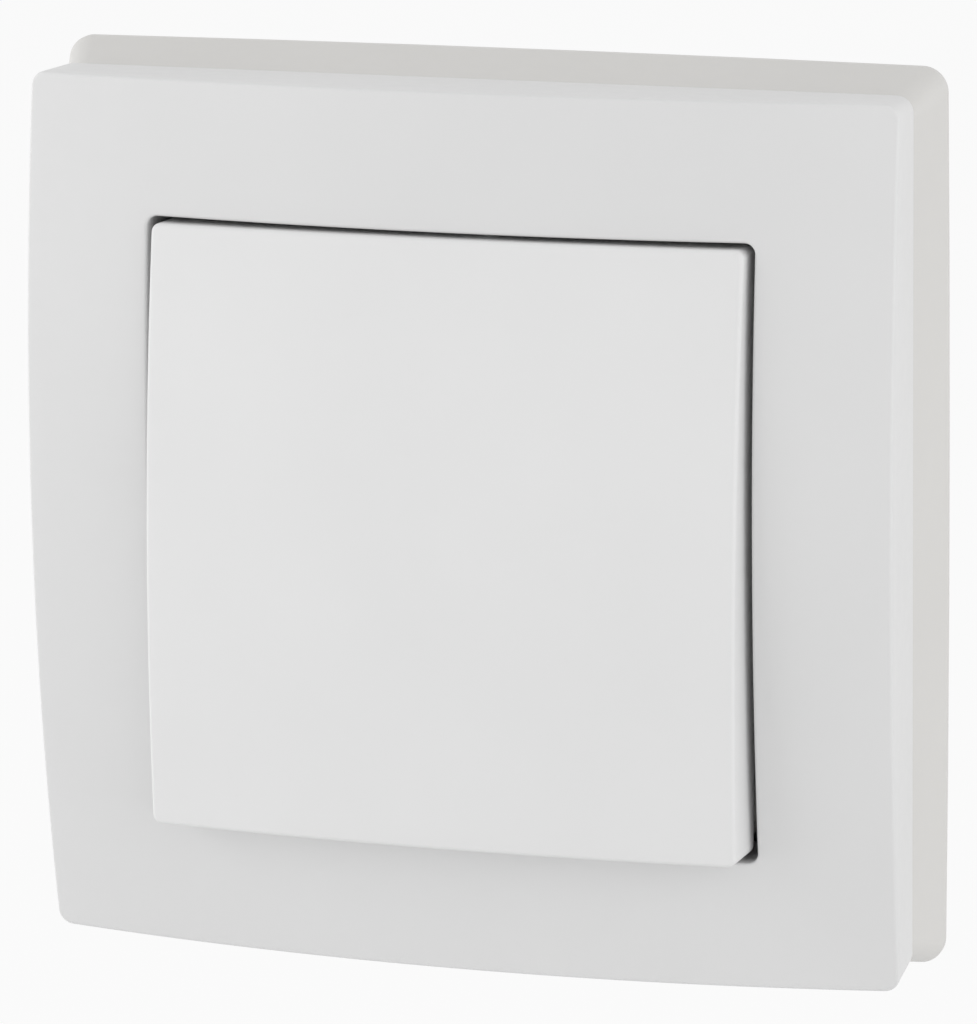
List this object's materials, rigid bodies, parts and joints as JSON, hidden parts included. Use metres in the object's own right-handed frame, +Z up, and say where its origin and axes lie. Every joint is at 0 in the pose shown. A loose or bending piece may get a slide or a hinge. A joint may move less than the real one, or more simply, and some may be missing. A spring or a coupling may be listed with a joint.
{
  "type": "rocker light switch",
  "caption": "Square wall light switch with a domed cover frame on a flared back frame, a large tilting rocker, and a change-over insert with plug-in terminals.",
  "frame": {"origin": "centre of the switch on the wall's surface, midway between the fixing screws", "axes": "+X right and +Z up as seen by someone facing the wall, -Y out of the wall towards them, +Y into the wall"},
  "size_m": [0.0824, 0.0449, 0.0824],
  "materials": {
    "cover_plastic": "satin, off-white",
    "back_plastic": "satin, off-white",
    "insert_plastic": "moulded, light grey",
    "yoke_plastic": "moulded, natural white",
    "button_plastic": "moulded, mid grey",
    "ring_steel": "zinc plated",
    "spring_steel": "bright",
    "contact_brass": "stamped",
    "contact_silver": "silver plated"
  },
  "bodies": {
    "housing": {"back_frame": "back_plastic", "cover_frame": "cover_plastic", "frame_catches": "spring_steel", "support_ring": "ring_steel", "ring_rivets": "ring_steel", "insert_base": "insert_plastic", "insert_cover": "insert_plastic", "common_terminal": "contact_brass", "throw_terminal_upper": "contact_brass", "throw_terminal_lower": "contact_brass", "fixed_contact_upper": "contact_silver", "fixed_contact_lower": "contact_silver", "clamp_spring_common": "spring_steel", "clamp_spring_upper": "spring_steel", "clamp_spring_lower": "spring_steel"},
    "rocker": {"rocker": "cover_plastic", "rocker_yoke": "yoke_plastic", "plunger_spring": "spring_steel"},
    "plunger": {"plunger": "yoke_plastic"},
    "contact_lever": {"contact_lever": "contact_brass", "moving_contacts": "contact_silver"},
    "release_common": {"release_button_common": "button_plastic"},
    "release_upper": {"release_button_upper": "button_plastic"},
    "release_lower": {"release_button_lower": "button_plastic"}
  },
  "joints": [
    {"name": "rocker_tilt", "type": "hinge", "parent": "housing", "child": "rocker", "pos_m": [0, -0.0157, 0], "axis": [1, 0, 0], "range_deg": [0, 8.1]},
    {"name": "lever_tilt", "type": "hinge", "parent": "housing", "child": "contact_lever", "pos_m": [0, 0.0012, 0], "axis": [1, 0, 0], "range_deg": [-16, 0]},
    {"name": "plunger_slide", "type": "slide", "parent": "rocker", "child": "plunger", "axis": [0, -0.9975, 0.0706], "range_m": [0, 0.0006], "stiffness_N_per_m": 800},
    {"name": "release_common_push", "type": "slide", "parent": "housing", "child": "release_common", "axis": [0, -1, 0], "range_m": [0, 0.001], "stiffness_N_per_m": 1500},
    {"name": "release_upper_push", "type": "slide", "parent": "housing", "child": "release_upper", "axis": [0, -1, 0], "range_m": [0, 0.001], "stiffness_N_per_m": 1500},
    {"name": "release_lower_push", "type": "slide", "parent": "housing", "child": "release_lower", "axis": [0, -1, 0], "range_m": [0, 0.001], "stiffness_N_per_m": 1500}
  ],
  "couplings": [
    {"joint": "lever_tilt", "follows": "rocker_tilt", "ratio": -1.975}
  ]
}
